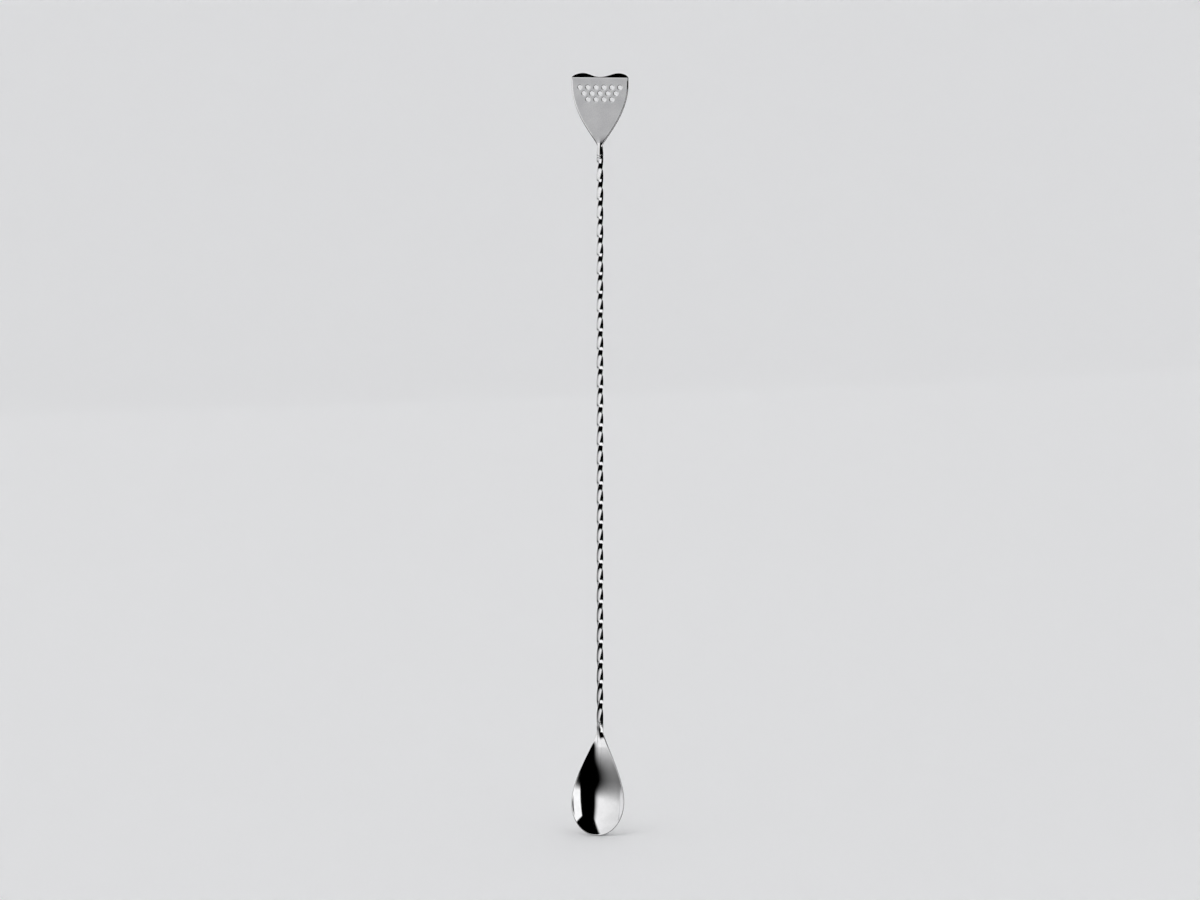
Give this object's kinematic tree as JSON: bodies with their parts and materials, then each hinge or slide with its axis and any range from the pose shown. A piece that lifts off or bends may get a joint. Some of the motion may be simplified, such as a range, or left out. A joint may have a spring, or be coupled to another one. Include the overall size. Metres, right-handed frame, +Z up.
{
  "type": "bar spoon",
  "caption": "Long stirring spoon for mixed drinks: teardrop bowl, twisted square bar and a perforated strainer head with a lip bent back at its top.",
  "frame": {"origin": "on the bar's axis at the middle of its twisted length, where the fingers hold it", "axes": "+Z up the bar to the strainer head, +X across the head and bowl, -Y the side the bowl opens to"},
  "size_m": [0.0264, 0.0126, 0.3498],
  "materials": {
    "polished_steel": "mirror-polished stainless steel",
    "polished_weld": "ground and polished butt weld",
    "twisted_bar_steel": "polished stainless steel, faintly drawn along the bar",
    "satin_steel": "satin face with polished rim, lip and hole edges"
  },
  "bodies": {
    "root": {"spoon_bowl": "polished_steel", "bowl_weld": "polished_weld", "twisted_shaft": "twisted_bar_steel", "head_weld": "polished_weld", "strainer_head": "satin_steel"}
  },
  "joints": []
}
